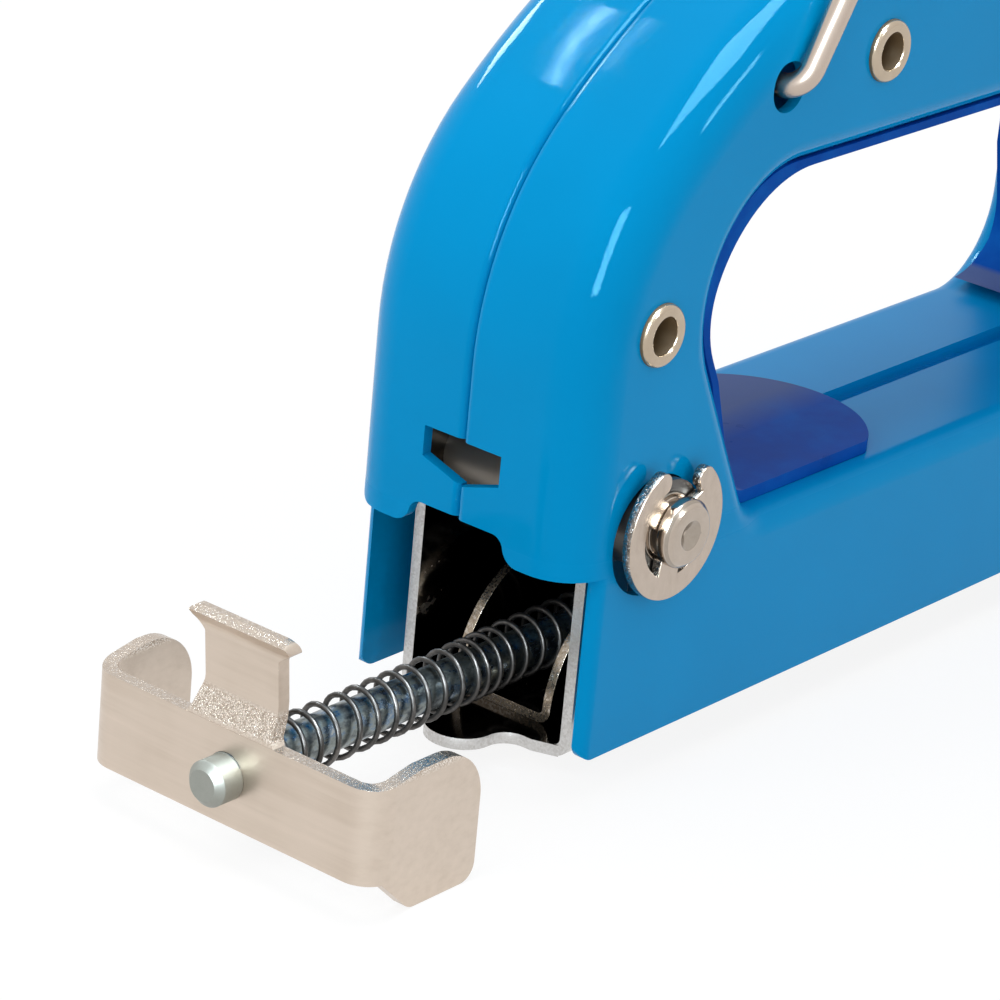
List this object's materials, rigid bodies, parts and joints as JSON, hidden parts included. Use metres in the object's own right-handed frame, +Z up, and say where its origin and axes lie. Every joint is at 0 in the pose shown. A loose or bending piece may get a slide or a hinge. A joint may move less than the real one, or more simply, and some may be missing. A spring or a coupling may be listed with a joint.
{
  "type": "staple gun",
  "caption": "Light hand staple gun with folded steel body, finger grip, squeeze lever, wire lever bail and a rear latch bracket that draws the spring and pusher out.",
  "frame": {"origin": "middle of the nose plate's foot, on the work surface", "axes": "+X forwards to the nose, +Y to the tool's left, +Z up, away from the work"},
  "size_m": [0.1499, 0.0308, 0.0986],
  "materials": {
    "blue_paint": "gloss",
    "liner_plastic": "satin",
    "plated_sheet": "zinc plated",
    "bumper_rubber": "matte",
    "bright_steel": "turned",
    "dark_steel": "oiled",
    "nickel": "satin nickel plated",
    "zinc_rod": "zinc plated",
    "spring_steel": "bright wire",
    "bail_wire": "bright plated"
  },
  "bodies": {
    "body": {"left_shell": "blue_paint", "right_shell": "blue_paint", "finger_liner": "liner_plastic", "magazine_channel": "plated_sheet", "magazine_rail": "plated_sheet", "nose_plate": "plated_sheet", "blade_guides": "plated_sheet", "bumper": "bumper_rubber", "latch_pin": "bright_steel", "pin_bushes": "dark_steel", "latch_pin_clips": "nickel", "body_rivets": "bright_steel", "rivet_sleeves": "dark_steel", "lever_pin": "bright_steel", "lever_pin_clips": "nickel", "lever_bushes": "dark_steel", "main_spring": "spring_steel", "spring_guide": "dark_steel", "spring_cap": "plated_sheet"},
    "pusher": {"pusher_block": "plated_sheet"},
    "latch": {"latch_bracket": "nickel", "guide_rod": "zinc_rod", "pusher_spring": "spring_steel"},
    "lever": {"lever": "plated_sheet", "lifting_arm": "dark_steel", "arm_rivets": "bright_steel"},
    "striker": {"hammer": "dark_steel", "striker_blade": "bright_steel", "hammer_rivets": "bright_steel"},
    "bail": {"wire_bail": "bail_wire"}
  },
  "joints": [
    {"name": "pusher_slide", "type": "slide", "parent": "body", "child": "pusher", "axis": [1, 0, 0], "range_m": [-0.078, 0.0268]},
    {"name": "latch_lift", "type": "slide", "parent": "pusher", "child": "latch", "axis": [0, 0, 1], "range_m": [0, 0.0027]},
    {"name": "lever_hinge", "type": "hinge", "parent": "body", "child": "lever", "pos_m": [-0.0315, 0, 0.058], "axis": [0, -1, 0], "range_deg": [0, 28], "stiffness_Nm_per_rad": 2, "springref_deg": -5.73},
    {"name": "striker_slide", "type": "slide", "parent": "body", "child": "striker", "axis": [0, 0, 1], "range_m": [0, 0.0117], "deforming": ["main_spring"]},
    {"name": "bail_hinge", "type": "hinge", "parent": "body", "child": "bail", "pos_m": [-0.09825, 0, 0.0567], "axis": [0, -1, 0], "range_deg": [-8, 158]}
  ],
  "couplings": [
    {"joint": "striker_slide", "follows": "lever_hinge", "m_per_rad": 0.02376}
  ]
}
